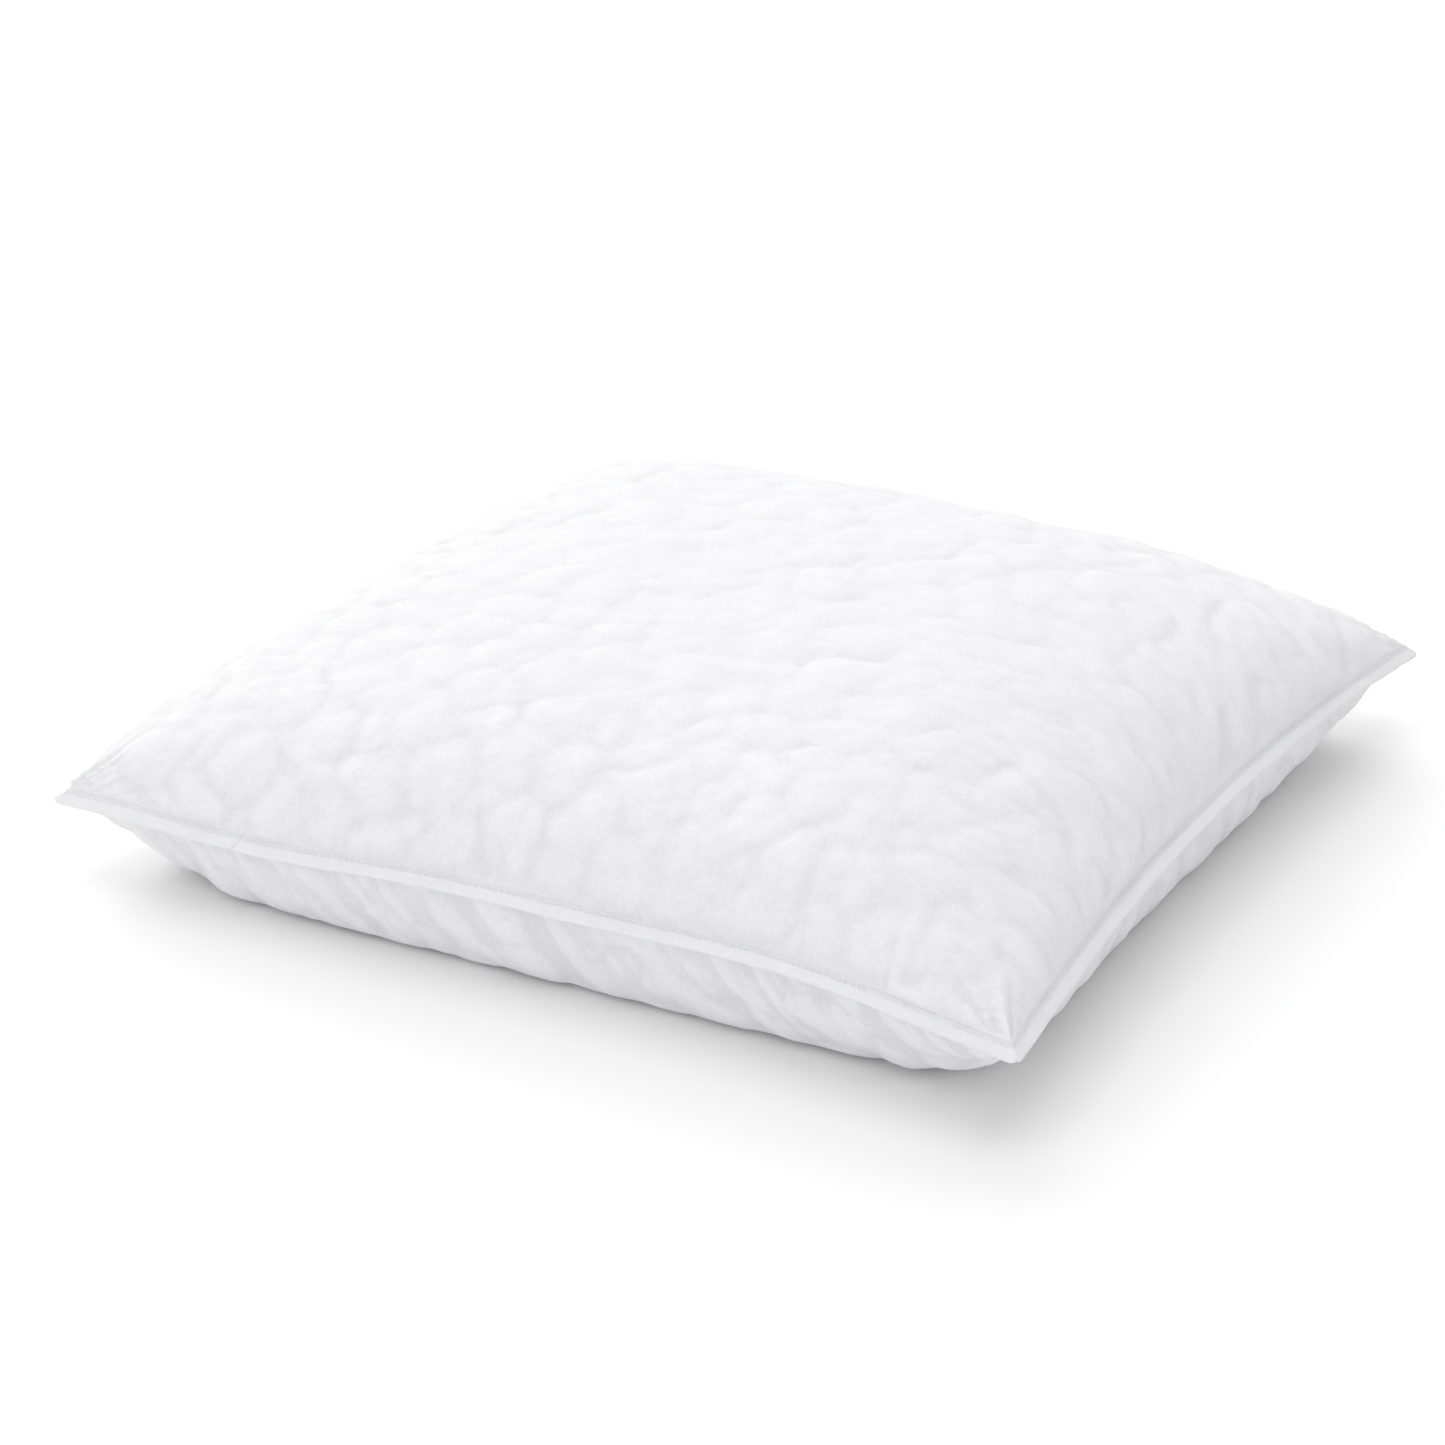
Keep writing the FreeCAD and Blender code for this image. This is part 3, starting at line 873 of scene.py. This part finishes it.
def kept_inside(points):
    """Points of the fill moved, where they must be, to lie clear of the inside of the cover."""
    s, t = shares_at(points[:, 0] * FILL_SPREAD, points[:, 1] * FILL_SPREAD)
    ceiling = panel_base(s, t, True)[:, 2] - FILL_MARGIN
    floor = panel_base(s, t, False)[:, 2] + FILL_MARGIN / 2
    middle = (ceiling + floor) / 2
    points[:, 2] = np.clip(points[:, 2], np.minimum(floor, middle), np.maximum(ceiling, middle))
    return points


def clump_pile(name, node, material, divisions=3):
    """Fluffy clumps in place of a node's plain ones: one for each separate solid of the node."""
    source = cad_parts[node].data
    unit, triangles = ball(divisions)
    centres, axes, sizes = solids_of(source)
    vertices, faces = [], []
    for k, (centre, axis, size) in enumerate(zip(centres, axes, sizes)):
        push = tufted(unit * 0.02 + centre, 0.011, 0.16, SEED + 90)
        local = unit * (1 - 0.12 + push)[:, None]
        side = np.cross(axis, [0.31, 0.95, 0.05])
        side /= np.linalg.norm(side)
        other = np.cross(axis, side)
        shaped = (local[:, :1] * side * size[0] + local[:, 1:2] * other * size[0]
                  + local[:, 2:] * axis * size[1])
        vertices.append(shaped + centre)
        faces.append(triangles + k * len(unit))
    points = kept_inside(np.concatenate(vertices))
    return new_piece(name, points, np.concatenate(faces), material)


def solids_of(mesh):
    """(centre, flat axis, (radius, half height)) of each loose part of a mesh."""
    count = len(mesh.vertices)
    points = np.zeros(count * 3)
    mesh.vertices.foreach_get("co", points)
    points = points.reshape(-1, 3)
    edges = np.zeros(len(mesh.edges) * 2, np.int64)
    mesh.edges.foreach_get("vertices", edges)
    groups = loose_groups(points, edges.reshape(-1, 2))
    centres, axes, sizes = [], [], []
    for group in groups:
        part = points[group]
        centre = (part.min(0) + part.max(0)) / 2
        spread = part - part.mean(0)
        values, vectors = np.linalg.eigh(spread.T @ spread)
        axis = vectors[:, 0]
        along = spread @ axis
        across = np.linalg.norm(spread - np.outer(along, axis), axis=1)
        centres.append(centre)
        axes.append(axis)
        sizes.append((across.max(), np.abs(along).max()))
    return centres, axes, sizes


def loose_groups(points, edges):
    """Lists of the vertices of each loose part, joining vertices that share a place."""
    keys = np.round(points * 1e6).astype(np.int64)
    _, shared = np.unique(keys, axis=0, return_inverse=True)
    label = shared.ravel().copy()
    a, b = label[edges[:, 0]], label[edges[:, 1]]
    root = np.arange(label.max() + 1)
    changed = True
    while changed:
        low = np.minimum(root[a], root[b])
        before = root.copy()
        np.minimum.at(root, a, low)
        np.minimum.at(root, b, low)
        root = root[root]
        changed = not np.array_equal(before, root)
    tag = root[label]
    order = np.argsort(tag, kind="stable")
    cuts = np.flatnonzero(np.diff(tag[order])) + 1
    return np.split(order, cuts)


def core_batt(material):
    """The matted core: a rounded slab with a rough, fibrous surface."""
    low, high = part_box("fill_core")
    centre = np.array((low + high) / 2)
    half = np.array((high - low) / 2)
    unit, faces = ball(6)
    power = 4.0
    boxy = unit / (np.abs(unit) ** power).sum(axis=1, keepdims=True) ** (1 / power)
    points = centre + boxy * half * CORE_SHARE
    push = tufted(points, 0.018, 0.0035, SEED + 120)
    points = kept_inside(points + unit * push[:, None])
    return new_piece("fill_core_batt", points, faces, material)


# ---- stage, light and camera ---------------------------------------------------------------

def stage_floor():
    """A plain white floor, wide enough to fill a low view."""
    size = 30.0
    corners = [(-size, -size, 0), (size, -size, 0), (size, size, 0), (-size, size, 0)]
    n = Nodes("stage_floor")
    n.shader.inputs["Base Color"].default_value = (0.95, 0.95, 0.95, 1)
    n.shader.inputs["Roughness"].default_value = 0.9
    n.shader.inputs["Specular IOR Level"].default_value = 0.0
    floor = new_piece("stage_floor", corners, [(0, 1, 2, 3)], n.material, smooth_shading=False)


def area_light(name, place, target, size, power):
    """A square soft light that faces a target."""
    data = bpy.data.lights.new(name, "AREA")
    data.shape = "SQUARE"
    data.size = size
    data.energy = power
    light = bpy.data.objects.new(name, data)
    bpy.context.scene.collection.objects.link(light)
    light.visible_camera = False
    light.location = place
    aim = np.array(target) - np.array(place)
    direction = as_vector(aim)
    light.rotation_mode = "QUATERNION"
    light.rotation_quaternion = direction.to_track_quat("-Z", "Y")


def as_vector(values):
    """A Blender vector from an array."""
    return Vector([float(v) for v in values])


def studio():
    """An even surround and six broad soft lights, the strongest above and low behind."""
    world = bpy.data.worlds.new("studio")
    world.use_nodes = True
    background = world.node_tree.nodes["Background"]
    background.inputs["Color"].default_value = (1.0, 1.0, 1.0, 1)
    background.inputs["Strength"].default_value = 0.493
    bpy.context.scene.world = world
    for name, place, power in (
        ("overhead", (0, 0, 8.0), 196),
        ("behind", (-1.0, 6.0, 6.0), 64),
        ("behind_left_low", (-4.8, 4.8, 4.0), 311),
        ("front_left_high", (-4.0, -4.0, 6.0), 87),
        ("front_low", (-1.2, -5.9, 0.6), 92),
        ("right_low", (5.2, -3.0, 0.8), 80),
    ):
        area_light(name, place, target=(0, 0, 0.05), size=6.0, power=power)


def camera():
    """The viewpoint: front and right, a little above."""
    azimuth, elevation = math.radians(29.41), math.radians(24.55)
    distance = 3.5203 * WIDTH
    aside, lift = 0.0426 * WIDTH, -0.0010 * WIDTH
    aim = np.array([0, 0, 0.0841 * WIDTH])
    back = np.array([math.sin(azimuth) * math.cos(elevation),
                     -math.cos(azimuth) * math.cos(elevation), math.sin(elevation)])
    right = np.array([math.cos(azimuth), math.sin(azimuth), 0])
    up = np.cross(back, right)
    data = bpy.data.cameras.new("camera")
    data.sensor_width = 36.0
    data.lens = 89.22
    viewer = bpy.data.objects.new("camera", data)
    bpy.context.scene.collection.objects.link(viewer)
    viewer.location = as_vector(aim + back * distance - right * aside - up * lift)
    viewer.rotation_mode = "QUATERNION"
    viewer.rotation_quaternion = as_vector(-back).to_track_quat("-Z", "Y")
    bpy.context.scene.camera = viewer


# ---- everything together -------------------------------------------------------------------

def build_pillow():
    cover, tape = cover_material(), tape_material()
    thread, fill = thread_material(), fill_material()
    upper = finish_piece(cover_panel("top_cover", True, cover), "cover_cloth", "top_panel")
    lower = finish_piece(cover_panel("bottom_cover", False, cover), "cover_cloth", "bottom_panel")
    main, closing = picks()
    band = tape_piece("edge_tape", main, tape, 0.0, 1.0)
    finish_piece(band, "binding_tape", "edge_binding")
    closer = tape_piece("closing_tape", closing, tape, -0.00015, 0.92)
    finish_piece(closer, "binding_tape", "closing_binding")
    for name, node, pick, side in (
        ("needle_stitches", "needle_thread", main, 1),
        ("bobbin_stitches", "bobbin_thread", main, -1),
        ("closing_needle_stitches", "closing_needle_thread", closing, 1),
        ("closing_bobbin_stitches", "closing_bobbin_thread", closing, -1),
    ):
        finish_piece(stitch_rows(name, pick, side, thread), "sewing_thread", node)
    label = finish_piece(care_label(label_material()), "label_satin", "care_label")
    core = finish_piece(core_batt(fill), "fibre_fill", "fill_core")
    for name, node in (("upper_fill", "fill_clumps_upper"), ("lower_fill", "fill_clumps_lower"),
                       ("rim_fill", "fill_clumps_rim")):
        finish_piece(clump_pile(name, node, fill), "fibre_fill", node)


build_pillow()
stage_floor()
studio()
camera()
bpy.context.scene.view_settings.view_transform = "Standard"
